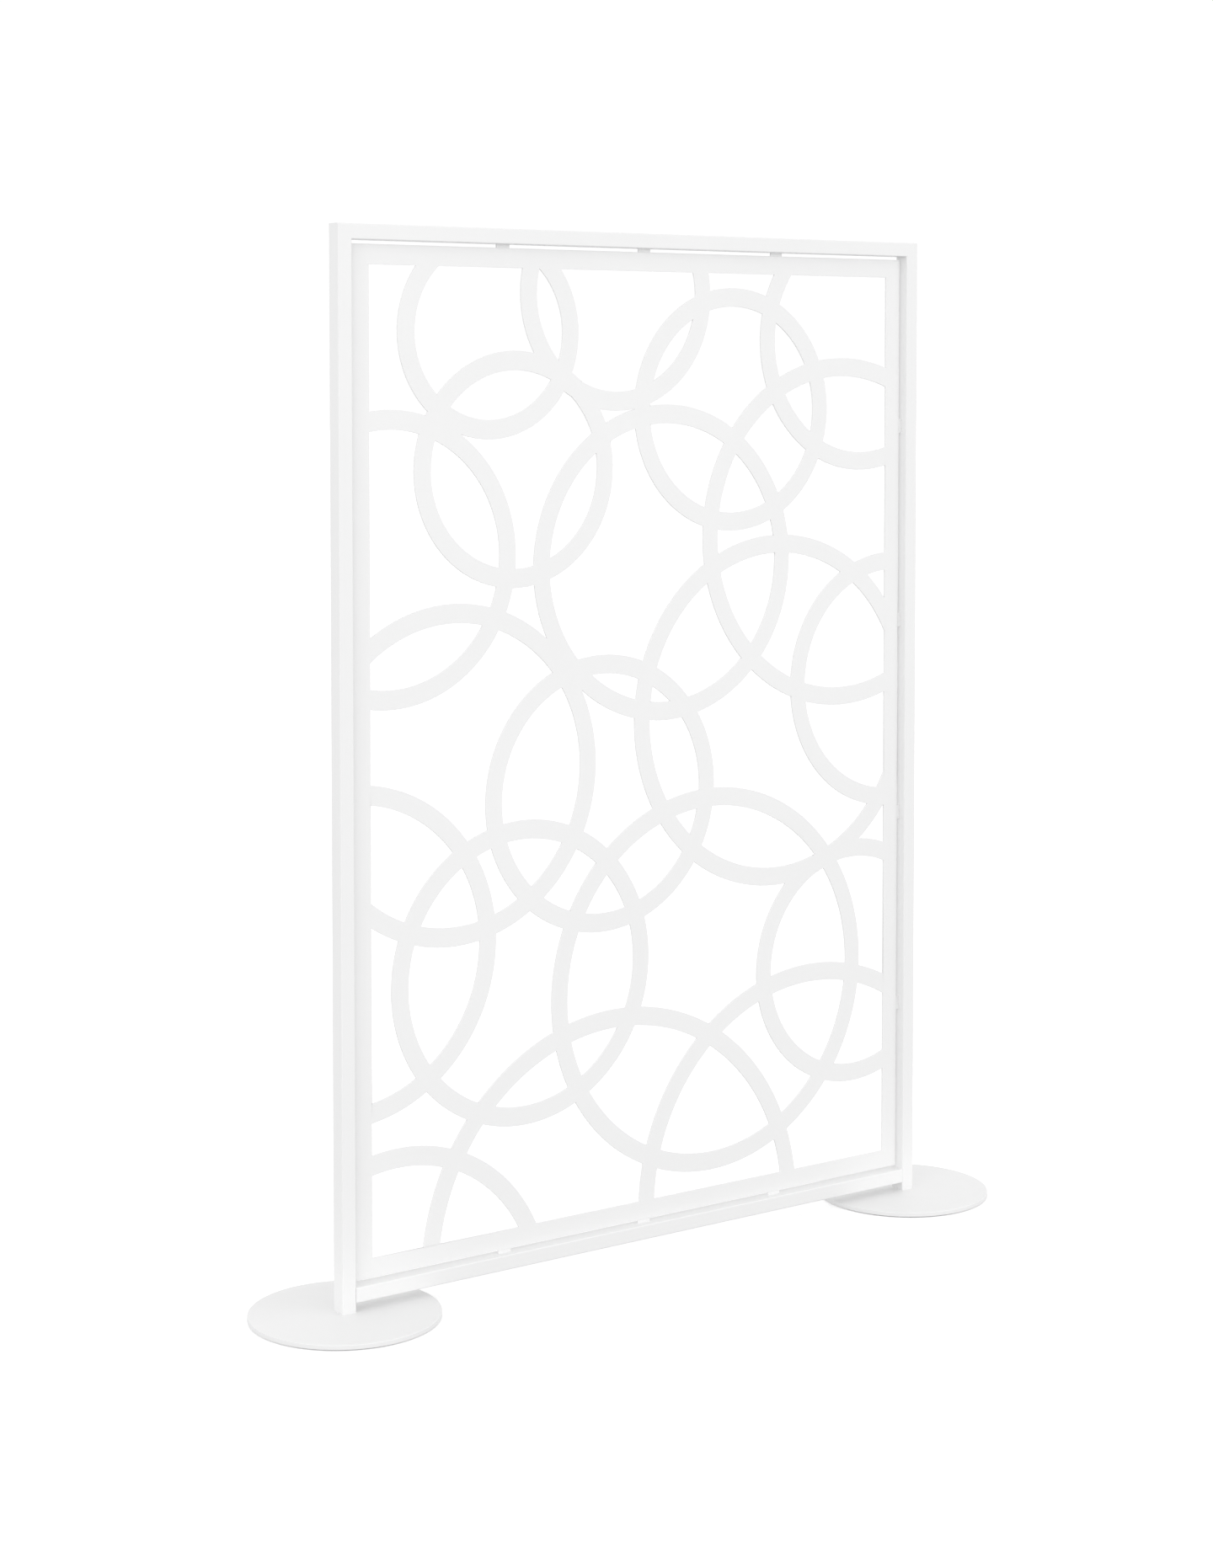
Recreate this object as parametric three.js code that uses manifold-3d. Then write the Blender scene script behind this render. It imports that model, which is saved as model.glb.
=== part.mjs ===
// Free-standing partition wall: a welded tube frame, a laser-cut sheet of overlapping rings
// held inside it on small lugs, and two round base plates bolted under the posts.
// Millimetres, +Z up, X along the width, the front faces -Y.
// The origin lies on the floor, midway between the posts.

import * as THREE from 'three';
import { mergeVertices } from 'three/addons/utils/BufferGeometryUtils.js';
import Module from 'manifold-3d';

// Overall size
const FRAME_WIDTH = 1200; // outside to outside of the posts
const TOTAL_HEIGHT = 1740; // floor to the top of the top rail

// Tube of the posts and rails
const TUBE_FACE = 25; // seen from the front
const TUBE_DEPTH = 30; // front to back
const TUBE_WALL = 1.5;
const TUBE_CORNER = 2; // outside corner radius
const MITRE_GAP = 0.4; // measured down the post, filled by the weld

// Ring panel
const SHEET = 3;
const PANEL_GAP = 6; // slot between the panel and the tubes
const PANEL_BORDER = 32;
const RING_BAND = 32;

// Lugs that bridge the slot
const LUG_LENGTH = 25;
const LUGS_PER_RAIL = 3;
const LUGS_PER_POST = 4;
const END_LUG_FROM_PANEL_END = 300; // centre of the first lug on a post

// Bases
const BASE_DIAMETER = 310;
const BASE_THICKNESS = 8;
const BASE_CHAMFER = 0.8;
const PAD_THICKNESS = 1.5;
const PAD_INSET = 4; // from the plate's rim to the pad's
const PAD_BORE = 30;
const RAIL_ABOVE_BASE = 14.5; // bottom rail's underside above the plate

// Fixing of each post: a tapped plug in its foot and a countersunk bolt from below
const PLUG_HEIGHT = 20;
const PLUG_CLEARANCE = 0.2;
const BOLT_DIAMETER = 10;
const BOLT_LENGTH = 25; // over all, as a countersunk bolt is measured
const BOLT_HEAD_DIAMETER = 20;
const BOLT_HEAD_LAND = 0.5; // straight rim of the head
const BOLT_RECESS = 0.5; // head's face below the plate's underside
const BOLT_SOCKET = 6; // across flats
const BOLT_SOCKET_DEPTH = 3.5;
const THREAD_CLEARANCE = 0.1;
const BOLT_HOLE_CLEARANCE = 0.5;

// Ring pattern: [x, z, outside diameter] from the centre of the window inside the panel's
// border, with centres on a 5 mm drawing grid and diameters in steps of 10 mm. It is drawn
// for a window of this size and stretched with it.
const PATTERN_WIDTH = 1074;
const PATTERN_HEIGHT = 1590;
const RINGS = [
  [-55, 755, 390],
  [-310, 690, 350],
  [480, 680, 460],
  [190, 560, 420],
  [-260, 465, 390],
  [435, 340, 620],
  [-500, 325, 480],
  [45, 300, 540],
  [550, 70, 460],
  [290, 30, 620],
  [-380, -30, 560],
  [-85, -85, 470],
  [-575, -305, 550],
  [-245, -370, 510],
  [145, -430, 670],
  [465, -435, 440],
  [370, -810, 760],
  [-55, -845, 780],
  [-485, -915, 580],
];

// Worked out from the sizes above
const FLOOR_TO_PLATE_TOP = PAD_THICKNESS + BASE_THICKNESS;
const BOTTOM_RAIL_Z = FLOOR_TO_PLATE_TOP + RAIL_ABOVE_BASE;
const FRAME_HEIGHT = TOTAL_HEIGHT - BOTTOM_RAIL_Z;
const FRAME_CENTRE_Z = BOTTOM_RAIL_Z + FRAME_HEIGHT / 2;
const INNER_WIDTH = FRAME_WIDTH - 2 * TUBE_FACE;
const INNER_HEIGHT = FRAME_HEIGHT - 2 * TUBE_FACE;
const PANEL_WIDTH = INNER_WIDTH - 2 * PANEL_GAP;
const PANEL_HEIGHT = INNER_HEIGHT - 2 * PANEL_GAP;
const WINDOW_WIDTH = PANEL_WIDTH - 2 * PANEL_BORDER;
const WINDOW_HEIGHT = PANEL_HEIGHT - 2 * PANEL_BORDER;
const POST_X = (FRAME_WIDTH - TUBE_FACE) / 2;
const SIDES = { left: -1, right: 1 };

const CHORD_ERROR = 0.35; // how far a straight facet may lie inside its arc
const LATHE_SEGMENTS = 96;

const wasm = await Module();
wasm.setup();

const wall = new THREE.Group();

// Materials: everything outside is steel under one white powder coat

function whiteCoat() {
  return new THREE.MeshStandardMaterial({ color: 0xf0f0ee, roughness: 0.5, metalness: 0 });
}

function blackRubber() {
  return new THREE.MeshStandardMaterial({ color: 0x1c1c1c, roughness: 0.9, metalness: 0 });
}

function bareSteel() {
  return new THREE.MeshStandardMaterial({ color: 0x9a9c9e, roughness: 0.4, metalness: 1 });
}

function add(name, geometry, material) {
  const mesh = new THREE.Mesh(geometry, material);
  mesh.name = name;
  wall.add(mesh);
  return mesh;
}

// Outlines

function roundedRectangle(path, width, height, radius) {
  const x = width / 2;
  const y = height / 2;
  path.moveTo(-x + radius, -y);
  path.lineTo(x - radius, -y);
  path.absarc(x - radius, -y + radius, radius, -Math.PI / 2, 0);
  path.lineTo(x, y - radius);
  path.absarc(x - radius, y - radius, radius, 0, Math.PI / 2);
  path.lineTo(-x + radius, y);
  path.absarc(-x + radius, y - radius, radius, Math.PI / 2, Math.PI);
  path.lineTo(-x, -y + radius);
  path.absarc(-x + radius, -y + radius, radius, Math.PI, Math.PI * 1.5);
  return path;
}

function rectangle(path, width, height) {
  path.moveTo(-width / 2, -height / 2);
  path.lineTo(width / 2, -height / 2);
  path.lineTo(width / 2, height / 2);
  path.lineTo(-width / 2, height / 2);
  path.closePath();
  return path;
}

function facetsFor(radius) {
  return Math.ceil(Math.PI / Math.acos(1 - CHORD_ERROR / radius));
}

// Solids

function toManifold(geometry) {
  const bare = geometry.clone();
  bare.deleteAttribute('normal');
  bare.deleteAttribute('uv');
  const merged = mergeVertices(bare, 1e-4);
  const mesh = new wasm.Mesh({
    numProp: 3,
    vertProperties: new Float32Array(merged.attributes.position.array),
    triVerts: new Uint32Array(merged.index.array),
  });
  return new wasm.Manifold(mesh);
}

function fromManifold(solid) {
  const mesh = solid.getMesh();
  const geometry = new THREE.BufferGeometry();
  geometry.setAttribute('position', new THREE.BufferAttribute(mesh.vertProperties, 3));
  geometry.setIndex(new THREE.BufferAttribute(mesh.triVerts, 1));
  geometry.computeVertexNormals();
  return geometry;
}

// A flat outline, drawn in x and z, cut out of the sheet in the middle of the frame's depth
function cutFromSheet(shape, curveSegments) {
  const options = { depth: SHEET, bevelEnabled: false, curveSegments };
  const geometry = new THREE.ExtrudeGeometry(shape, options);
  geometry.rotateX(Math.PI / 2);
  geometry.translate(0, SHEET / 2, 0);
  return geometry;
}

// Tube along +Z whose ends may be mitred: the end is lowered by the distance from -x
function tube(length, mitredEnds) {
  const innerCorner = TUBE_CORNER - TUBE_WALL;
  const section = roundedRectangle(new THREE.Shape(), TUBE_FACE, TUBE_DEPTH, TUBE_CORNER);
  const hollowWidth = TUBE_FACE - 2 * TUBE_WALL;
  const hollowDepth = TUBE_DEPTH - 2 * TUBE_WALL;
  section.holes.push(roundedRectangle(new THREE.Path(), hollowWidth, hollowDepth, innerCorner));
  const options = { depth: length, bevelEnabled: false, curveSegments: 4 };
  const geometry = new THREE.ExtrudeGeometry(section, options);
  const position = geometry.attributes.position;
  for (let i = 0; i < position.count; i += 1) {
    const fromOutside = position.getX(i) + TUBE_FACE / 2;
    const atTop = position.getZ(i) > length / 2;
    if (atTop && mitredEnds.top) {
      position.setZ(i, length - fromOutside);
    }
    if (!atTop && mitredEnds.bottom) {
      position.setZ(i, fromOutside);
    }
  }
  geometry.computeVertexNormals();
  return geometry;
}

// Frame: the top corners are mitred, and the bottom rail butts between the posts

function addPosts() {
  const length = TOTAL_HEIGHT - FLOOR_TO_PLATE_TOP - MITRE_GAP;
  for (const [side, sign] of Object.entries(SIDES)) {
    const post = add(`post_${side}`, tube(length, { top: true, bottom: false }), whiteCoat());
    post.rotation.z = sign < 0 ? 0 : Math.PI;
    post.position.set(sign * POST_X, 0, FLOOR_TO_PLATE_TOP);
  }
}

function addRails() {
  const top = tube(FRAME_WIDTH, { top: true, bottom: true });
  top.rotateY(Math.PI / 2);
  top.translate(-FRAME_WIDTH / 2, 0, TOTAL_HEIGHT - TUBE_FACE / 2);
  add('rail_top', top, whiteCoat());
  const bottom = tube(INNER_WIDTH, { top: false, bottom: false });
  bottom.rotateY(Math.PI / 2);
  bottom.translate(-INNER_WIDTH / 2, 0, BOTTOM_RAIL_Z + TUBE_FACE / 2);
  add('rail_bottom', bottom, whiteCoat());
}

// Panel: rings and border are one cut sheet, so they are joined into one solid

function ringSolid(x, z, outerDiameter) {
  const radius = outerDiameter / 2;
  const shape = new THREE.Shape();
  shape.absarc(0, 0, radius, 0, 2 * Math.PI);
  const hole = new THREE.Path();
  hole.absarc(0, 0, radius - RING_BAND, 0, 2 * Math.PI);
  shape.holes.push(hole);
  const geometry = cutFromSheet(shape, facetsFor(radius) / 2);
  geometry.translate(x, 0, z);
  return toManifold(geometry);
}

function addPanel() {
  const stretchX = WINDOW_WIDTH / PATTERN_WIDTH;
  const stretchZ = WINDOW_HEIGHT / PATTERN_HEIGHT;
  const stretchRing = Math.sqrt(stretchX * stretchZ);
  const blank = rectangle(new THREE.Shape(), PANEL_WIDTH, PANEL_HEIGHT);
  const border = rectangle(new THREE.Shape(), PANEL_WIDTH, PANEL_HEIGHT);
  border.holes.push(rectangle(new THREE.Path(), WINDOW_WIDTH, WINDOW_HEIGHT));
  let rings = null;
  for (const [x, z, diameter] of RINGS) {
    const ring = ringSolid(x * stretchX, z * stretchZ, diameter * stretchRing);
    rings = rings ? rings.add(ring) : ring;
  }
  const panel = rings.intersect(toManifold(cutFromSheet(blank))).add(toManifold(cutFromSheet(border)));
  const geometry = fromManifold(panel);
  geometry.translate(0, 0, FRAME_CENTRE_Z);
  add('ring_panel', geometry, whiteCoat());
}

// Lugs: at the quarter points of the rails and evenly spaced up the posts

function addRailLugs() {
  const offset = INNER_HEIGHT / 2 - PANEL_GAP / 2;
  for (const [rail, sign] of [['top', 1], ['bottom', -1]]) {
    for (let i = 1; i <= LUGS_PER_RAIL; i += 1) {
      const x = PANEL_WIDTH * (i / (LUGS_PER_RAIL + 1) - 0.5);
      const geometry = new THREE.BoxGeometry(LUG_LENGTH, SHEET, PANEL_GAP);
      const lug = add(`lug_${rail}_${i}`, geometry, whiteCoat());
      lug.position.set(x, 0, FRAME_CENTRE_Z + sign * offset);
    }
  }
}

function addPostLugs() {
  const offset = INNER_WIDTH / 2 - PANEL_GAP / 2;
  const spacing = (PANEL_HEIGHT - 2 * END_LUG_FROM_PANEL_END) / (LUGS_PER_POST - 1);
  for (const [side, sign] of Object.entries(SIDES)) {
    for (let i = 0; i < LUGS_PER_POST; i += 1) {
      const z = END_LUG_FROM_PANEL_END + i * spacing - PANEL_HEIGHT / 2;
      const geometry = new THREE.BoxGeometry(PANEL_GAP, SHEET, LUG_LENGTH);
      const lug = add(`lug_${side}_${i + 1}`, geometry, whiteCoat());
      lug.position.set(sign * offset, 0, FRAME_CENTRE_Z + z);
    }
  }
}

// Bases

function lathe(profile, segments = LATHE_SEGMENTS) {
  const points = profile.map(([radius, z]) => new THREE.Vector2(radius, z));
  const geometry = new THREE.LatheGeometry(points, segments);
  geometry.rotateX(Math.PI / 2);
  return geometry;
}

// Round plate with chamfered edges and a countersunk hole that opens downwards
function basePlate() {
  const hole = (BOLT_DIAMETER + BOLT_HOLE_CLEARANCE) / 2;
  const sink = (BOLT_HEAD_DIAMETER + BOLT_HOLE_CLEARANCE) / 2;
  const land = BOLT_RECESS + BOLT_HEAD_LAND;
  const rim = BASE_DIAMETER / 2;
  const low = PAD_THICKNESS;
  const high = FLOOR_TO_PLATE_TOP;
  return lathe([
    [sink, low],
    [rim - BASE_CHAMFER, low],
    [rim, low + BASE_CHAMFER],
    [rim, high - BASE_CHAMFER],
    [rim - BASE_CHAMFER, high],
    [hole, high],
    [hole, low + land + sink - hole],
    [sink, low + land],
    [sink, low],
  ]);
}

function basePad() {
  const rim = BASE_DIAMETER / 2 - PAD_INSET;
  const bore = PAD_BORE / 2;
  return lathe([
    [bore, 0],
    [rim, 0],
    [rim, PAD_THICKNESS],
    [bore, PAD_THICKNESS],
    [bore, 0],
  ]);
}

// Tapped block that fits inside the foot of a post
function footPlug() {
  const around = 2 * (TUBE_WALL + PLUG_CLEARANCE);
  const corner = TUBE_CORNER - TUBE_WALL;
  const width = TUBE_FACE - around;
  const depth = TUBE_DEPTH - around;
  const shape = roundedRectangle(new THREE.Shape(), width, depth, corner);
  const hole = new THREE.Path();
  hole.absarc(0, 0, BOLT_DIAMETER / 2 + THREAD_CLEARANCE, 0, 2 * Math.PI);
  shape.holes.push(hole);
  const options = { depth: PLUG_HEIGHT, bevelEnabled: false, curveSegments: 8 };
  const geometry = new THREE.ExtrudeGeometry(shape, options);
  geometry.translate(0, 0, FLOOR_TO_PLATE_TOP);
  return geometry;
}

function baseBolt() {
  const face = PAD_THICKNESS + BOLT_RECESS;
  const shank = BOLT_DIAMETER / 2;
  const head = BOLT_HEAD_DIAMETER / 2;
  const tipChamfer = 1;
  const body = lathe([
    [0, face],
    [head, face],
    [head, face + BOLT_HEAD_LAND],
    [shank, face + BOLT_HEAD_LAND + head - shank],
    [shank, face + BOLT_LENGTH - tipChamfer],
    [shank - tipChamfer, face + BOLT_LENGTH],
    [0, face + BOLT_LENGTH],
  ], 36);
  const cornerRadius = BOLT_SOCKET / 2 / Math.cos(Math.PI / 6);
  const socket = new THREE.CylinderGeometry(cornerRadius, cornerRadius, 2 * BOLT_SOCKET_DEPTH, 6);
  socket.rotateX(Math.PI / 2);
  socket.translate(0, 0, face);
  return fromManifold(toManifold(body).subtract(toManifold(socket)));
}

function addBases() {
  const pieces = [
    ['base_plate', basePlate, whiteCoat],
    ['base_pad', basePad, blackRubber],
    ['foot_plug', footPlug, bareSteel],
    ['base_bolt', baseBolt, bareSteel],
  ];
  for (const [side, sign] of Object.entries(SIDES)) {
    for (const [name, shape, material] of pieces) {
      add(`${name}_${side}`, shape(), material()).position.x = sign * POST_X;
    }
  }
}

addPosts();
addRails();
addPanel();
addRailLugs();
addPostLugs();
addBases();

export default wall;
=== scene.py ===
# %% [markdown]
# # A white partition wall with a cut-metal ring screen
#
# The wall is a welded frame of slim steel tube. It stands on two round plates, and a thin
# laser-cut sheet of overlapping rings hangs inside it on small lugs. Everything outside is
# under one white powder coat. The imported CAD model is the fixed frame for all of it: it is
# loaded first, and each finer piece built here takes its place and size from it.

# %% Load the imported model
import bpy
import numpy as np
from mathutils import Euler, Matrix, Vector
from mathutils.geometry import delaunay_2d_cdt


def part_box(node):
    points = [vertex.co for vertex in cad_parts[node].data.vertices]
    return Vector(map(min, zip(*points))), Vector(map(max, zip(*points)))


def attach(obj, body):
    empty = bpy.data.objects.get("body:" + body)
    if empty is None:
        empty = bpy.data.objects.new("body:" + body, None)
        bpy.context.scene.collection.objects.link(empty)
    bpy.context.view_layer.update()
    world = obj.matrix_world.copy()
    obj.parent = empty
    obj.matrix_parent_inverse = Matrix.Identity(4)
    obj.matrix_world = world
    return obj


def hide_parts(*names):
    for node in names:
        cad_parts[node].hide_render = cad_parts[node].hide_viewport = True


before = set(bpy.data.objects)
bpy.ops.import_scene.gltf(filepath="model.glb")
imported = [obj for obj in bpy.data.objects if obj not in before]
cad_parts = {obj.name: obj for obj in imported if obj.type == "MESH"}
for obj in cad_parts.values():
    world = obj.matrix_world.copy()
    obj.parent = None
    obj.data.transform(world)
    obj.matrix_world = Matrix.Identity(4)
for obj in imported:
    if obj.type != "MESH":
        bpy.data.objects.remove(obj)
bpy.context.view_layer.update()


# %% [markdown]
# ## Sizes read from the model
#
# Nothing here guesses where a tube ends. The boxes of the CAD nodes give the tube's face and
# depth, the panel's sheet and the heights, so a change to the CAD model moves the looks too.

# %% Read the sizes
def node_box(node):
    """Lowest and highest corner of a CAD node, as two arrays in metres."""
    low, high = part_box(node)
    return np.array(low), np.array(high)


post_low, post_high = node_box("post_left")
rail_low, rail_high = node_box("rail_top")
sill_low, sill_high = node_box("rail_bottom")
panel_low, panel_high = node_box("ring_panel")

MM = 0.001
tube_face = post_high[0] - post_low[0]
tube_depth = post_high[1] - post_low[1]
post_x = (post_low[0] + post_high[0]) / 2
frame_width = rail_high[0] - rail_low[0]
inner_width = sill_high[0] - sill_low[0]
top_z = rail_high[2]
sheet = panel_high[1] - panel_low[1]
SIDES = {"left": -1, "right": 1}
print("tube", round(tube_face, 4), "x", round(tube_depth, 4), "sheet", round(sheet, 4))


# %% [markdown]
# ## One way to make every surface
#
# A surface is a grid of points: rows along one parameter, columns along the other. Where a
# direction closes on itself, the last row joins the first. Putting whole arrays in with
# `foreach_set` is quick, and the same helper then serves tubes, plates, pads and bolts. A
# smooth-shaded flat face next to a small round would look domed, so each piece also gets a
# Weighted Normal modifier, which lets the wide flat faces win.

# %% Turn a grid of points into a mesh
def grid_faces(rows, columns, close_rows, close_columns, first=0):
    """Quads between each grid cell's four corners, numbered row by row from first."""
    r = np.arange(rows if close_rows else rows - 1)
    c = np.arange(columns if close_columns else columns - 1)
    r, c = np.meshgrid(r, c, indexing="ij")
    r_next, c_next = (r + 1) % rows, (c + 1) % columns
    quads = np.stack([r * columns + c, r * columns + c_next,
                      r_next * columns + c_next, r_next * columns + c], axis=-1)
    return quads.reshape(-1, 4) + first


def new_mesh(name, points, polygons):
    """A mesh from an array of points and a list of arrays of equal-sided polygons."""
    mesh = bpy.data.meshes.new(name)
    corners = np.concatenate([p.ravel() for p in polygons])
    sizes = np.concatenate([np.full(len(p), p.shape[1]) for p in polygons])
    starts = np.concatenate([[0], np.cumsum(sizes)[:-1]])
    mesh.vertices.add(len(points))
    mesh.vertices.foreach_set("co", np.asarray(points, np.float32).ravel())
    mesh.loops.add(len(corners))
    mesh.loops.foreach_set("vertex_index", corners.astype(np.int32))
    mesh.polygons.add(len(sizes))
    mesh.polygons.foreach_set("loop_start", starts.astype(np.int32))
    mesh.update(calc_edges=True)
    mesh.validate()
    return mesh


def show(mesh, sharp_angle=20):
    """An object for the mesh, smooth except where two faces meet at more than sharp_angle.
    Where a wide face meets a small one, the wide one's normal counts for more."""
    mesh.polygons.foreach_set("use_smooth", np.ones(len(mesh.polygons), bool))
    mesh.set_sharp_from_angle(angle=np.radians(sharp_angle))
    piece = bpy.data.objects.new(mesh.name, mesh)
    flatten = piece.modifiers.new("flat_faces_stay_flat", "WEIGHTED_NORMAL")
    flatten.keep_sharp = True
    bpy.context.collection.objects.link(piece)
    return piece


def keep(piece, slot, *nodes):
    """The piece rides on the wall's one body and stands for the CAD nodes named."""
    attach(piece, "root")
    if nodes:
        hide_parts(*nodes)
    print(piece.name, len(piece.data.polygons), "faces")
    return piece


# %% [markdown]
# ## Powder coat
#
# Powder coat is baked plastic on steel: satin, not mirror-like, with a very fine orange peel
# about a millimetre across. Two noises do it. A fine one bends the normals through a bump, and
# a broad one lets the roughness and the white drift a little, as a real coat does from one
# end of a long tube to the other. The colour itself stays almost constant.

# %% Helper for material nodes
def shader(name):
    """A new material and its tree, principled shader and Object coordinates."""
    material = bpy.data.materials.new(name)
    material.use_nodes = True
    tree = material.node_tree
    principled = tree.nodes["Principled BSDF"]
    coordinates = tree.nodes.new("ShaderNodeTexCoord")
    return material, tree, principled, coordinates.outputs["Object"]


def noise(tree, where, scale, detail=3.0, roughness=0.5):
    """A noise with the given number of waves per metre."""
    node = tree.nodes.new("ShaderNodeTexNoise")
    node.inputs["Scale"].default_value = scale
    node.inputs["Detail"].default_value = detail
    node.inputs["Roughness"].default_value = roughness
    tree.links.new(where, node.inputs["Vector"])
    return node.outputs["Fac"]


NOISE_LOW, NOISE_HIGH = 0.3, 0.7  # most of a noise lies between these


def ramp(tree, value, start, end, first, last):
    """The value's range start..end mapped to first..last and held outside it."""
    node = tree.nodes.new("ShaderNodeMapRange")
    node.inputs["From Min"].default_value = start
    node.inputs["From Max"].default_value = end
    node.inputs["To Min"].default_value = first
    node.inputs["To Max"].default_value = last
    tree.links.new(value, node.inputs["Value"])
    return node.outputs["Result"]


def spread(tree, value, low, high):
    """A noise stretched so that its usual range fills low..high."""
    return ramp(tree, value, NOISE_LOW, NOISE_HIGH, low, high)


def blend_colours(tree, value, first, second):
    """A colour that goes from the first to the second as the noise rises."""
    node = tree.nodes.new("ShaderNodeValToRGB")
    node.color_ramp.elements[0].position = NOISE_LOW
    node.color_ramp.elements[0].color = (*first, 1)
    node.color_ramp.elements[1].position = NOISE_HIGH
    node.color_ramp.elements[1].color = (*second, 1)
    tree.links.new(value, node.inputs["Fac"])
    return node.outputs["Color"]


def bump(tree, height, distance, strength, after=None):
    """A bump whose full height is distance metres."""
    node = tree.nodes.new("ShaderNodeBump")
    node.inputs["Distance"].default_value = distance
    node.inputs["Strength"].default_value = strength
    tree.links.new(height, node.inputs["Height"])
    if after:
        tree.links.new(after, node.inputs["Normal"])
    return node.outputs["Normal"]


# %% White powder coat
def powder_coat():
    """White from a broad noise, roughness from a middling one, and two bumps: orange peel
    with 650 waves a metre and a grain with 3200."""
    material, tree, principled, place = shader("white_powder_coat")
    drift = noise(tree, place, 2.5)
    white = blend_colours(tree, drift, (0.830, 0.830, 0.830), (0.845, 0.845, 0.845))
    tree.links.new(white, principled.inputs["Base Color"])
    cloud = noise(tree, place, 35.0)
    tree.links.new(spread(tree, cloud, 0.4, 0.5), principled.inputs["Roughness"])
    peel = bump(tree, noise(tree, place, 650.0, detail=2.0), 0.0002, 0.25)
    grain = bump(tree, noise(tree, place, 3200.0, detail=1.0), 0.00004, 0.2, after=peel)
    tree.links.new(grain, principled.inputs["Normal"])
    principled.inputs["IOR"].default_value = 1.5
    return material


white_coat = powder_coat()
print("made", white_coat.name)


# %% [markdown]
# ## Rubber and plated steel
#
# Two finishes are seen only under the wall: the black rubber of the floor pads, matt with a
# fine moulded grain, and the zinc plating of the bolts and plugs, whose brushed streaks come
# from a noise stretched along one axis.

# %% Black rubber
def black_rubber():
    """One mottle noise gives colour and roughness together; a fine one is the bump."""
    material, tree, principled, place = shader("black_rubber")
    mottle = noise(tree, place, 60.0)
    black = blend_colours(tree, mottle, (0.018, 0.018, 0.019), (0.032, 0.032, 0.033))
    tree.links.new(black, principled.inputs["Base Color"])
    tree.links.new(spread(tree, mottle, 0.75, 0.9), principled.inputs["Roughness"])
    grain = bump(tree, noise(tree, place, 1800.0), 0.0001, 0.4)
    tree.links.new(grain, principled.inputs["Normal"])
    return material


rubber = black_rubber()
print("made", rubber.name)


# %% Zinc-plated steel
def plated_steel():
    """A noise squeezed twelve times along Z gives colour, roughness and a faint bump."""
    material, tree, principled, place = shader("bare_steel")
    mapping = tree.nodes.new("ShaderNodeMapping")
    mapping.inputs["Scale"].default_value = (1, 1, 12)
    tree.links.new(place, mapping.inputs["Vector"])
    streaks = noise(tree, mapping.outputs["Vector"], 300.0)
    grey = blend_colours(tree, streaks, (0.46, 0.47, 0.49), (0.62, 0.62, 0.60))
    tree.links.new(grey, principled.inputs["Base Color"])
    tree.links.new(spread(tree, streaks, 0.28, 0.45), principled.inputs["Roughness"])
    tree.links.new(bump(tree, streaks, 0.00005, 0.3), principled.inputs["Normal"])
    principled.inputs["Metallic"].default_value = 1.0
    return material


steel = plated_steel()
print("made", steel.name)


# %% [markdown]
# ## Frame tubes
#
# Rolled tube has round corners outside and tighter ones inside. One outline, a rectangle with
# quarter circles at its corners, is carried out along the length and back along the inside, so
# the wall has its real thickness. Where two tubes meet in a mitre, the end of each is cut by
# moving every point back as far as it lies from the outer side: that is a 45 degree plane.

# %% Round-cornered tube
def rounded_outline(width, depth, radius, steps=10):
    """Corner centre plus radius times (cos, sin), a quarter turn at each of four corners."""
    quarter = np.linspace(0, np.pi / 2, steps)
    angle = (quarter + np.arange(4)[:, None] * np.pi / 2).ravel()
    sign_x = np.repeat([1, -1, -1, 1], steps)
    sign_y = np.repeat([1, 1, -1, -1], steps)
    x = sign_x * (width / 2 - radius) + radius * np.cos(angle)
    y = sign_y * (depth / 2 - radius) + radius * np.sin(angle)
    return np.stack([x, y], axis=1)


TUBE_WALL = 1.5 * MM
TUBE_CORNER = 2 * MM


def tube_points(length, mitre_start, mitre_end):
    """Outer outline at both ends, then the inner one back: four rows that close into a wall."""
    outer = rounded_outline(tube_face, tube_depth, TUBE_CORNER)
    inner = rounded_outline(tube_face - 2 * TUBE_WALL, tube_depth - 2 * TUBE_WALL,
                            TUBE_CORNER - TUBE_WALL)
    rows = np.stack([outer, outer, inner, inner])
    from_outside = rows[..., 0] + tube_face / 2
    along = np.zeros(rows.shape[:2])
    along[[1, 2]] = length
    along[[1, 2]] -= mitre_end * from_outside[[1, 2]]
    along[[0, 3]] += mitre_start * from_outside[[0, 3]]
    return np.concatenate([rows, along[..., None]], axis=2)


def tube_mesh(name, points):
    """The rows of points joined into quads, the last row joined back to the first."""
    rows, columns = points.shape[:2]
    return new_mesh(name, points.reshape(-1, 3), [grid_faces(rows, columns, True, True)])


# %% Posts
def post(side, sign):
    """A tube up from the base plate; its local x points inwards, so the mitre faces in."""
    points = tube_points(top_z - post_low[2], 0, 1)
    points[..., 0] *= -sign
    points[..., 1] *= -sign
    points += (sign * abs(post_x), 0, post_low[2])
    piece = show(tube_mesh("post_" + side + "_tube", points))
    piece.data.materials.append(white_coat)
    return keep(piece, "white_powder_coat", "post_" + side)


for side, sign in SIDES.items():
    post(side, sign)


# %% Rails
def rail(name, node, length, mitre, z):
    """A tube laid along X: the outline's x becomes height, outer side up."""
    points = tube_points(length, mitre, mitre)
    x, y, along = np.moveaxis(points, 2, 0)
    laid = np.stack([along - length / 2, y, z - x], axis=2)
    piece = show(tube_mesh(name, laid))
    piece.data.materials.append(white_coat)
    return keep(piece, "white_powder_coat", node)


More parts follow.
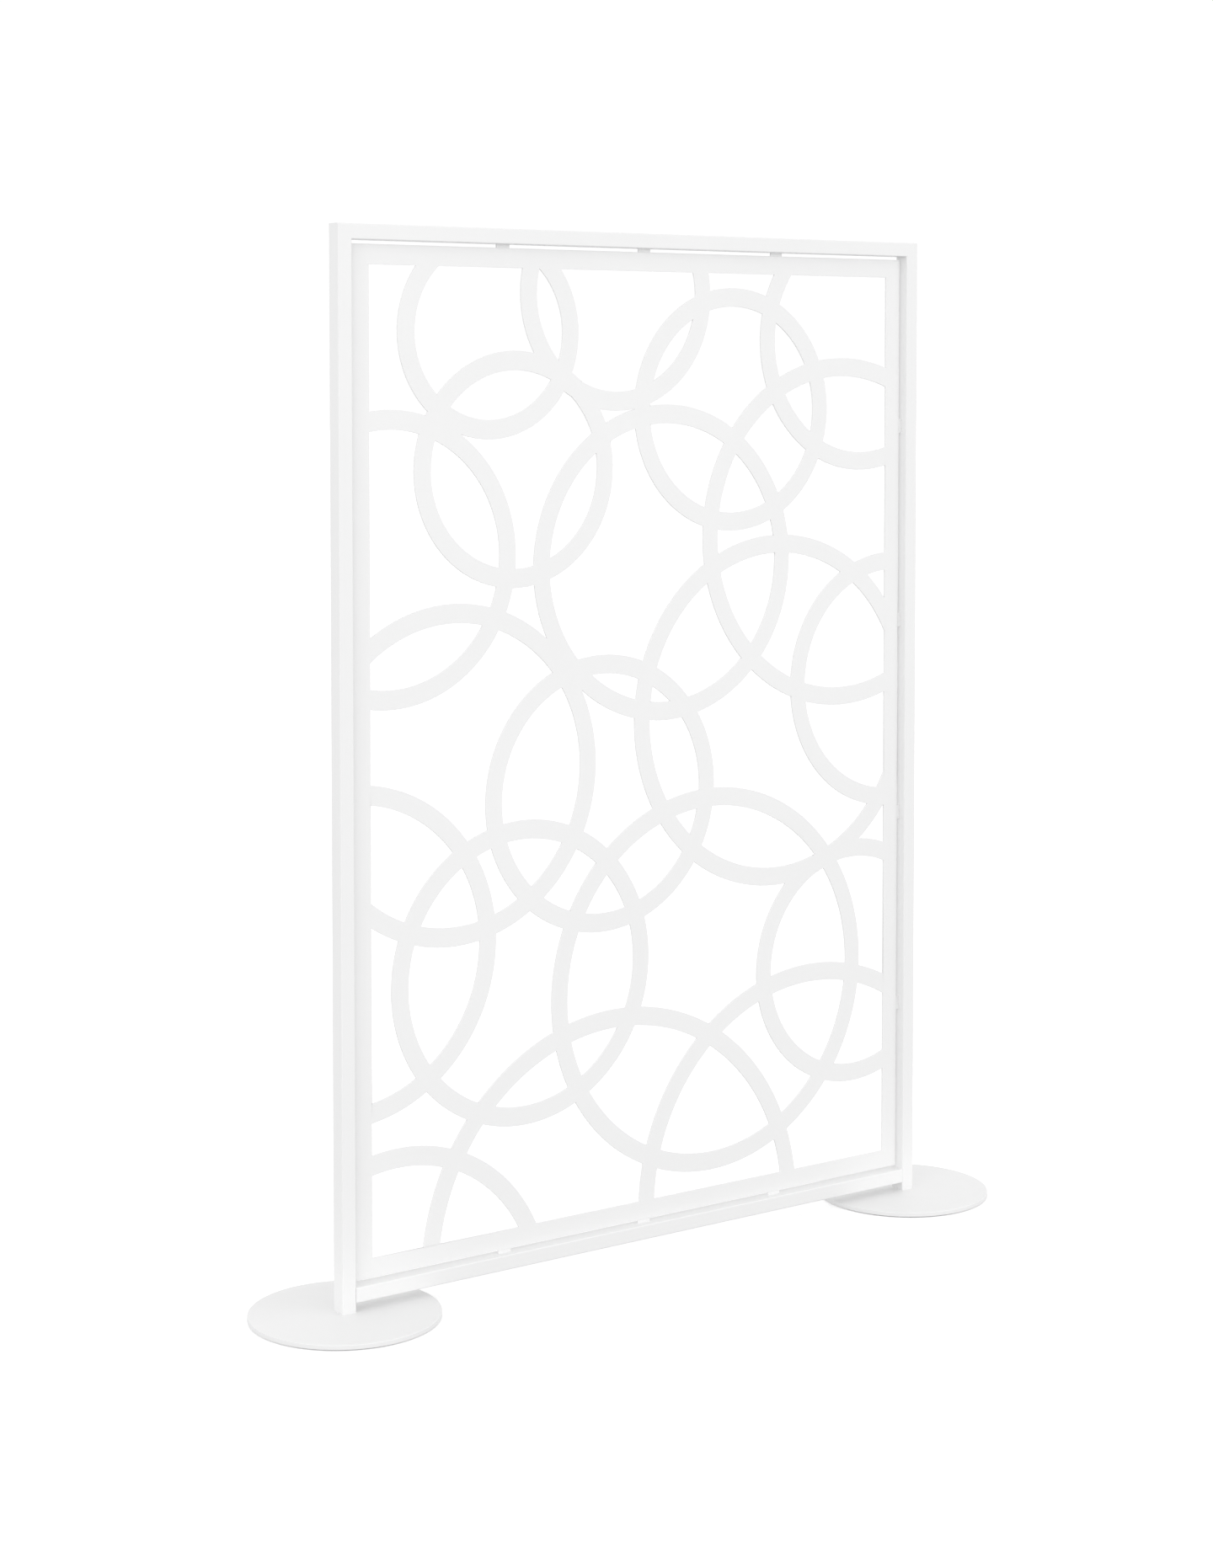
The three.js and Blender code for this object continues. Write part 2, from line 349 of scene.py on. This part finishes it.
rail("rail_top_tube", "rail_top", frame_width, 1, top_z - tube_face / 2)
rail("rail_bottom_tube", "rail_bottom", inner_width, 0, (sill_low[2] + sill_high[2]) / 2)


# %% [markdown]
# ## The ring panel
#
# The screen is one sheet. A laser has cut away everything that is neither border nor ring.
# Joining nineteen rings with booleans leaves ragged corners, so the outline is worked out
# flat instead: all circles and both rectangles go into one constrained triangulation, each
# triangle is kept if its centre lies in metal, and the edges with metal on one side only are
# the cut. The ring list gives each ring's centre from the middle of the window and its
# outside diameter, in millimetres, for a window of the drawn size. Centres lie on a drawing
# grid of 5 mm and diameters go in steps of 10 mm.

# %% The ring pattern
DRAWN_WINDOW = np.array([1074.0, 1590.0]) * MM
BORDER = 32 * MM
BAND = 32 * MM
RINGS = [
    (-55, 755, 390),
    (-310, 690, 350),
    (480, 680, 460),
    (190, 560, 420),
    (-260, 465, 390),
    (435, 340, 620),
    (-500, 325, 480),
    (45, 300, 540),
    (550, 70, 460),
    (290, 30, 620),
    (-380, -30, 560),
    (-85, -85, 470),
    (-575, -305, 550),
    (-245, -370, 510),
    (145, -430, 670),
    (465, -435, 440),
    (370, -810, 760),
    (-55, -845, 780),
    (-485, -915, 580),
]

panel_size = (panel_high - panel_low)[[0, 2]]
panel_centre = ((panel_high + panel_low) / 2)[[0, 2]]
window = panel_size - 2 * BORDER
stretch = window / DRAWN_WINDOW
rings = np.array(RINGS) * MM
ring_centres = rings[:, :2] * stretch
ring_radii = rings[:, 2] / 2 * np.sqrt(stretch.prod())
print(len(rings), "rings in a window of", tuple(window.round(4)))

# %% Circles and rectangles as closed runs of points
CUT_STEP = 4 * MM
SAME_POINT = 1e-4  # millimetres apart, below which two points are one


def circle_count(radius):
    """How many straight steps make a circle with steps of about CUT_STEP."""
    return int(np.ceil(2 * np.pi * radius / CUT_STEP))


def circle(centre, radius):
    """Centre plus radius times (cos, sin) at equal turns."""
    count = circle_count(radius)
    angle = np.arange(count) * 2 * np.pi / count
    return centre + radius * np.stack([np.cos(angle), np.sin(angle)], axis=1)


def rectangle(size):
    """The four corners of a rectangle about the middle, anticlockwise."""
    return np.array([(-1, -1), (1, -1), (1, 1), (-1, 1)]) * size / 2


def in_circle(points, centre, radius):
    """Inside the straight-sided circle: the distance towards the middle of the nearest side
    is less than that side's own distance from the centre."""
    offset = points - centre
    side_turn = 2 * np.pi / circle_count(radius)
    turn = np.mod(np.arctan2(offset[:, 1], offset[:, 0]), side_turn) - side_turn / 2
    reach = np.hypot(offset[:, 0], offset[:, 1]) * np.cos(turn)
    return reach < radius * np.cos(side_turn / 2)


def in_metal(points):
    """Inside the sheet, and in its border or in the band of any ring."""
    in_sheet = (np.abs(points) < panel_size / 2).all(axis=1)
    metal = (np.abs(points) > window / 2).any(axis=1)
    for centre, radius in zip(ring_centres, ring_radii):
        band = in_circle(points, centre, radius) & ~in_circle(points, centre, radius - BAND)
        metal |= band
    return in_sheet & metal


# %% Triangulate the flat sheet
def flat_sheet():
    """Points, triangles and the directed cut edges, which have metal on their left."""
    runs = [rectangle(panel_size), rectangle(window)]
    for centre, radius in zip(ring_centres, ring_radii):
        runs += [circle(centre, radius), circle(centre, radius - BAND)]
    starts = np.cumsum([0] + [len(run) for run in runs])
    edges = np.concatenate([
        np.stack([np.arange(len(run)), np.roll(np.arange(len(run)), -1)], axis=1) + start
        for run, start in zip(runs, starts)])
    corners = [Vector(point / MM) for point in np.concatenate(runs)]
    found = delaunay_2d_cdt(corners, edges.tolist(), [], 0, SAME_POINT)
    points = np.array(found[0]) * MM
    triangles = np.array(found[2])
    triangles = triangles[in_metal(points[triangles].mean(axis=1))]
    forward = triangles[:, [0, 1, 1, 2, 2, 0]].reshape(-1, 2)
    key = forward[:, 0] * len(points) + forward[:, 1]
    back_key = forward[:, 1] * len(points) + forward[:, 0]
    cut = forward[~np.isin(key, back_key)]
    used, triangles = np.unique(triangles, return_inverse=True)
    return points[used], triangles.reshape(-1, 3), np.searchsorted(used, cut)


sheet_points, sheet_triangles, cut_edges = flat_sheet()
print(len(sheet_points), "points,", len(sheet_triangles), "triangles,", len(cut_edges), "cut edges")

# %% [markdown]
# ### Thickness and softened edges
#
# A coated edge is never razor sharp: the powder pulls back into a small round. Each point of
# the cut moves into the metal along the average of its two edges' inward directions, a little
# at each of three levels, which gives a round of 0.4 mm. Where short edges meet, the
# move is held to a third of the shortest one, so that nothing folds over.

# %% Give the sheet its thickness
EDGE_ROUND = 0.4 * MM
LONGEST_MOVE = 1.6  # in units of the round, at a sharp corner
LEAST_SQUARED = 0.8  # keeps the scaling finite where two edges almost fold back


def inward_moves(points, cut):
    """For each point of the cut, the sum of its two unit inward normals, scaled so that both
    edges move by one unit, and limited to LONGEST_MOVE at sharp corners."""
    direction = points[cut[:, 1]] - points[cut[:, 0]]
    length = np.hypot(direction[:, 0], direction[:, 1])
    normal = np.stack([-direction[:, 1], direction[:, 0]], axis=1) / length[:, None]
    total = np.zeros_like(points)
    np.add.at(total, cut[:, 0], normal)
    np.add.at(total, cut[:, 1], normal)
    squared = (total ** 2).sum(axis=1)
    on_cut = squared > 0
    total[on_cut] *= (2 / np.maximum(squared[on_cut], LEAST_SQUARED))[:, None]
    size = np.hypot(total[:, 0], total[:, 1])
    total[on_cut] *= np.minimum(1, LONGEST_MOVE / size[on_cut])[:, None]
    shortest = np.full(len(points), np.inf)
    np.minimum.at(shortest, cut[:, 0], length)
    np.minimum.at(shortest, cut[:, 1], length)
    return total * np.minimum(EDGE_ROUND, shortest / 3)[:, None]


def thick_sheet():
    """Front and back faces, and between them the cut wall in five strips round the edges."""
    moves = inward_moves(sheet_points, cut_edges)
    turn = np.radians([90, 45, 0, 0, 45, 90])
    side = np.array([-1, -1, -1, 1, 1, 1])
    depth = side * (sheet / 2 - EDGE_ROUND + EDGE_ROUND * np.sin(turn))
    levels = [sheet_points + moves * (1 - np.cos(t)) + panel_centre for t in turn]
    points = np.concatenate([
        np.stack([level[:, 0], np.full(len(level), y), level[:, 1]], axis=1)
        for level, y in zip(levels, depth)])
    count = len(sheet_points)
    last = (len(levels) - 1) * count
    walls = [np.stack([cut_edges[:, 0] + low, cut_edges[:, 0] + low + count,
                       cut_edges[:, 1] + low + count, cut_edges[:, 1] + low], axis=1)
             for low in range(0, last, count)]
    return points, [sheet_triangles, sheet_triangles[:, ::-1] + last, *walls]


def drop_unused(points, polygons):
    """The same surface without the points that no polygon uses."""
    used = np.unique(np.concatenate([p.ravel() for p in polygons]))
    return points[used], [np.searchsorted(used, p) for p in polygons]


ring_panel = show(new_mesh("ring_panel_sheet", *drop_unused(*thick_sheet())))
ring_panel.data.materials.append(white_coat)
keep(ring_panel, "white_powder_coat", "ring_panel")


# %% [markdown]
# ## Lugs
#
# Fourteen small plates bridge the slot between panel and frame. They are cut from the same
# sheet, so they share its thickness and its softened edges. Each is the round-cornered outline
# of its cross-section carried from the tube to the panel.

# %% Lugs in the slot
LUG_ROUND = 0.5 * MM


def lug(node):
    """A bar from one side of the slot to the other with its long edges softened."""
    low, high = node_box(node)
    centre, size = (low + high) / 2, high - low
    along = 0 if size[0] < size[2] else 2
    across = 2 - along
    section = rounded_outline(size[across], size[1], LUG_ROUND, steps=7)
    if along == 0:
        section = section[::-1]
    points = np.zeros((2, len(section), 3))
    points[:, :, across] = section[:, 0]
    points[:, :, 1] = section[:, 1]
    points[0, :, along] = -size[along] / 2
    points[1, :, along] = size[along] / 2
    columns = len(section)
    ends = [np.arange(columns)[None, ::-1], np.arange(columns)[None] + columns]
    mesh = new_mesh(node + "_plate", points.reshape(-1, 3) + centre,
                    [grid_faces(2, columns, False, True), *ends])
    piece = show(mesh)
    piece.data.materials.append(white_coat)
    return keep(piece, "white_powder_coat", node)


for node in sorted(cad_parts):
    if node.startswith("lug_"):
        lug(node)


# %% [markdown]
# ## Round base plates
#
# A base plate is turned: its outline, drawn once from the hole to the rim and back, is carried
# round the post's axis. The rim has a small round above and below, and the hole opens
# downwards into the cone that takes the bolt's head.

# %% Carry an outline round an axis
def revolve(name, profile, x, turns=128):
    """(radius cos, radius sin, height) at equal turns about the upright axis through x."""
    profile = np.asarray(profile)
    angle = np.arange(turns) * 2 * np.pi / turns
    radius, height = profile[:, 0], profile[:, 1]
    points = np.stack([x + radius[:, None] * np.cos(angle),
                       radius[:, None] * np.sin(angle),
                       np.broadcast_to(height[:, None], (len(profile), turns))], axis=2)
    quads = grid_faces(len(profile), turns, True, True)
    return new_mesh(name, points.reshape(-1, 3), [quads])


def corner(centre_radius, centre_height, size, start, end, steps=7):
    """Points on an arc of the given size, from one angle to another in degrees."""
    turn = np.radians(np.linspace(start, end, steps))
    return np.stack([centre_radius + size * np.cos(turn),
                     centre_height + size * np.sin(turn)], axis=1)


# %% Base plates
BOLT_SHANK = 5 * MM
BOLT_HEAD = 10 * MM
BOLT_LAND = 0.5 * MM
BOLT_RECESS = 0.5 * MM
HOLE_CLEARANCE = 0.25 * MM
RIM_ROUND = 1.2 * MM


def base_plate(side, sign):
    """The plate's outline turned about the post's axis: hole, countersink, floor face, rim
    with quarter circles above and below, top face."""
    low, high = node_box("base_plate_" + side)
    rim = (high[0] - low[0]) / 2
    hole = BOLT_SHANK + HOLE_CLEARANCE
    sink = BOLT_HEAD + HOLE_CLEARANCE
    land = low[2] + BOLT_RECESS + BOLT_LAND
    profile = np.concatenate([
        [(sink, land), (sink, low[2])],
        corner(rim - RIM_ROUND, low[2] + RIM_ROUND, RIM_ROUND, -90, 0),
        corner(rim - RIM_ROUND, high[2] - RIM_ROUND, RIM_ROUND, 0, 90),
        [(hole, high[2]), (hole, land + sink - hole)],
    ])
    piece = show(revolve("base_plate_" + side + "_disc", profile, sign * abs(post_x)))
    piece.data.materials.append(white_coat)
    return keep(piece, "white_powder_coat", "base_plate_" + side)


for side, sign in SIDES.items():
    base_plate(side, sign)


# %% [markdown]
# ### Pads
#
# Under each plate lies a thin rubber ring, a little smaller than the plate. From the side it
# reads as a dark line between the plate and the floor. It is turned like the plate, from a
# simpler outline.

# %% Rubber pads under the plates
PAD_ROUND = 0.5 * MM
PAD_BORE = 15 * MM


def base_pad(side, sign):
    """A flat ring, its lower outer edge a quarter circle, turned about the post's axis."""
    low, high = node_box("base_pad_" + side)
    rim = (high[0] - low[0]) / 2
    profile = np.concatenate([
        [(PAD_BORE, high[2]), (PAD_BORE, low[2])],
        corner(rim - PAD_ROUND, low[2] + PAD_ROUND, PAD_ROUND, -90, 0),
        [(rim, high[2])],
    ])
    piece = show(revolve("base_pad_" + side + "_ring", profile, sign * abs(post_x)))
    piece.data.materials.append(rubber)
    return keep(piece, "black_rubber", "base_pad_" + side)


for side, sign in SIDES.items():
    base_pad(side, sign)


# %% [markdown]
# ## Base bolts
#
# A countersunk socket bolt holds each plate. Its socket is a hexagon, and a hexagon is a
# circle whose radius swings: apothem divided by the cosine of the turn from the nearest flat's
# middle. So the same rows of points can start as a hexagon and end as a round head.

# %% Base bolts
SOCKET_APOTHEM = 3 * MM
SOCKET_DEPTH = 3.5 * MM
SOCKET_CONE = 0.8 * MM
BOLT_EDGE = 0.2 * MM
BOLT_TIP = 1 * MM
BOLT_TURNS = 72


def fan(ring, pole):
    """Triangles from each step of a closed ring of points to one pole."""
    return np.stack([ring, np.roll(ring, -1), np.full(len(ring), pole)], axis=1)


def base_bolt(side, sign):
    """Radius times (cos, sin) in rows from the socket's floor, over the head and up the
    shank. The first rows are hexagons, and each end closes on a single point."""
    low, high = node_box("base_bolt_" + side)
    angle = np.arange(BOLT_TURNS) * 2 * np.pi / BOLT_TURNS
    flat = np.mod(angle, np.pi / 3) - np.pi / 6
    hexagon = SOCKET_APOTHEM / np.cos(flat)
    round_one = np.ones(BOLT_TURNS)
    face = low[2]
    rows = [
        (hexagon, face + SOCKET_DEPTH),
        (hexagon, face + BOLT_EDGE),
        (hexagon + BOLT_EDGE, face),
        (round_one * (BOLT_HEAD - BOLT_EDGE), face),
        (round_one * BOLT_HEAD, face + BOLT_EDGE),
        (round_one * BOLT_HEAD, face + BOLT_LAND),
        (round_one * BOLT_SHANK, face + BOLT_LAND + BOLT_HEAD - BOLT_SHANK),
        (round_one * BOLT_SHANK, high[2] - BOLT_TIP),
        (round_one * (BOLT_SHANK - BOLT_TIP), high[2]),
    ]
    radius = np.array([row[0] for row in rows])
    height = np.array([row[1] for row in rows])[:, None]
    x = sign * abs(post_x)
    turned = np.stack([x + radius * np.cos(angle), radius * np.sin(angle),
                       np.broadcast_to(height, radius.shape)], axis=2)
    poles = [(x, 0, face + SOCKET_DEPTH + SOCKET_CONE), (x, 0, high[2])]
    points = np.concatenate([turned.reshape(-1, 3), poles])
    first_ring = np.arange(BOLT_TURNS)
    last_ring = first_ring + (len(rows) - 1) * BOLT_TURNS
    polygons = [grid_faces(len(rows), BOLT_TURNS, False, True),
                fan(first_ring[::-1], len(points) - 2),
                fan(last_ring, len(points) - 1)]
    piece = show(new_mesh("base_bolt_" + side + "_screw", points, polygons))
    piece.data.materials.append(steel)
    return keep(piece, "bare_steel", "base_bolt_" + side)


for side, sign in SIDES.items():
    base_bolt(side, sign)


# %% [markdown]
# ## Plugs in the post feet
#
# A tapped block sits inside the foot of each post, where nothing outside shows it. Its CAD
# shape is right as it is, so it only gets the steel finish.

# %% Plugs in the post feet
for side in SIDES:
    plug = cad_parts["foot_plug_" + side]
    plug.material_slots[0].material = steel
    print("foot_plug_" + side, "keeps its CAD mesh")


# %% [markdown]
# ## Floor, light and camera
#
# A white wall on a white ground needs light from all round, and a floor that stays paper
# white. The sky dome gives most of the light and is dimmer below the horizon, and the
# floor does not throw its light back, so undersides and slots turn grey and read as edges.
# Two large, weak softboxes, one to the left and one in front, set the faces of the tubes a
# shade apart. The floor comes first.

# %% Floor
FLOOR_REACH = 60.0
FLOOR_GLOW = 0.25


def floor_material():
    """Near white by a broad noise, plus a little light of its own, so that the soft shadow
    under the wall stays white."""
    material, tree, principled, place = shader("studio_floor")
    pale = blend_colours(tree, noise(tree, place, 1.5), (0.93, 0.93, 0.93), (0.95, 0.95, 0.95))
    tree.links.new(pale, principled.inputs["Base Color"])
    principled.inputs["Roughness"].default_value = 0.9
    principled.inputs["Specular IOR Level"].default_value = 0.1
    principled.inputs["Emission Color"].default_value = (1, 1, 1, 1)
    principled.inputs["Emission Strength"].default_value = FLOOR_GLOW
    return material


floor_points = np.array([(-1, -1, 0), (1, -1, 0), (1, 1, 0), (-1, 1, 0)]) * FLOOR_REACH
floor = show(new_mesh("studio_floor", floor_points, [np.array([[0, 1, 2, 3]])]))
floor.data.materials.append(floor_material())
floor.visible_diffuse = False

# %% [markdown]
# ### Sky dome
#
# A world background lights the wall from every side. Its strength depends only on how high a
# direction points: one ramp brings it up to full at the horizon, and another lowers it a
# little overhead.

# %% Sky dome
SKY_BELOW = 0.52
SKY_HORIZON = 1.03
SKY_TOP = 0.92
HORIZON_RISE = (-0.3, -0.05)  # heights of a direction: the ramp up to the horizon
OVERHEAD_FALL = (0.3, 0.7)  # and the ramp down towards the top


def sky_dome():
    """Brightest round the horizon, softer overhead and dim below: the product of two ramps
    of the direction's height."""
    world = bpy.data.worlds.new("studio")
    world.use_nodes = True
    tree = world.node_tree
    background = tree.nodes["Background"]
    direction = tree.nodes.new("ShaderNodeTexCoord")
    split = tree.nodes.new("ShaderNodeSeparateXYZ")
    tree.links.new(direction.outputs["Generated"], split.inputs["Vector"])
    height = split.outputs["Z"]
    product = tree.nodes.new("ShaderNodeMath")
    product.operation = "MULTIPLY"
    rise = ramp(tree, height, *HORIZON_RISE, SKY_BELOW, SKY_HORIZON)
    fall = ramp(tree, height, *OVERHEAD_FALL, 1, SKY_TOP / SKY_HORIZON)
    tree.links.new(rise, product.inputs[0])
    tree.links.new(fall, product.inputs[1])
    tree.links.new(product.outputs["Value"], background.inputs["Strength"])
    background.inputs["Color"].default_value = (1, 1, 1, 1)
    return world


bpy.context.scene.world = sky_dome()


# %% [markdown]
# ### Softboxes
#
# Each softbox is a square area light five metres wide, so its shadows are soft. Both face the
# middle of the wall.

# %% Softboxes
def softbox(name, place, target, size, power):
    """A square area light at place, facing target."""
    data = bpy.data.lights.new(name, "AREA")
    data.shape = "SQUARE"
    data.size = size
    data.energy = power
    light = bpy.data.objects.new(name, data)
    light.location = place
    light.rotation_euler = (Vector(target) - Vector(place)).to_track_quat("-Z", "Y").to_euler()
    bpy.context.collection.objects.link(light)
    return light


WALL_MIDDLE = (0, 0, 0.9)
SOFTBOX_SIZE = 5.0
SOFTBOXES = {  # place in metres, power in watts
    "left_softbox": ((-5.2, -3.6, 2.2), 102),
    "front_softbox": ((3.2, -5.4, 2.2), 73),
}
for name, (place, power) in SOFTBOXES.items():
    softbox(name, place, WALL_MIDDLE, SOFTBOX_SIZE, power)
bpy.context.scene.view_settings.view_transform = "Standard"

# %% [markdown]
# ### Camera
#
# The camera stands to the left of the wall and looks almost level. A lens shift brings the
# wall into the frame while its upright edges stay nearly parallel, as in views of buildings.

# %% Camera
CAMERA_PLACE = (-2.76, -3.81, 1.505)
CAMERA_TURN = 35.15
CAMERA_TILT = 2.65
CAMERA_LENS = 63.75
CAMERA_SHIFT = -0.18
camera_data = bpy.data.cameras.new("camera")
camera_data.lens = CAMERA_LENS
camera_data.sensor_width = 36
camera_data.shift_y = CAMERA_SHIFT
camera_data.clip_end = 200
camera = bpy.data.objects.new("camera", camera_data)
camera.location = CAMERA_PLACE
camera.rotation_euler = Euler(np.radians((90 - CAMERA_TILT, 0, -CAMERA_TURN)))
bpy.context.collection.objects.link(camera)
bpy.context.scene.camera = camera
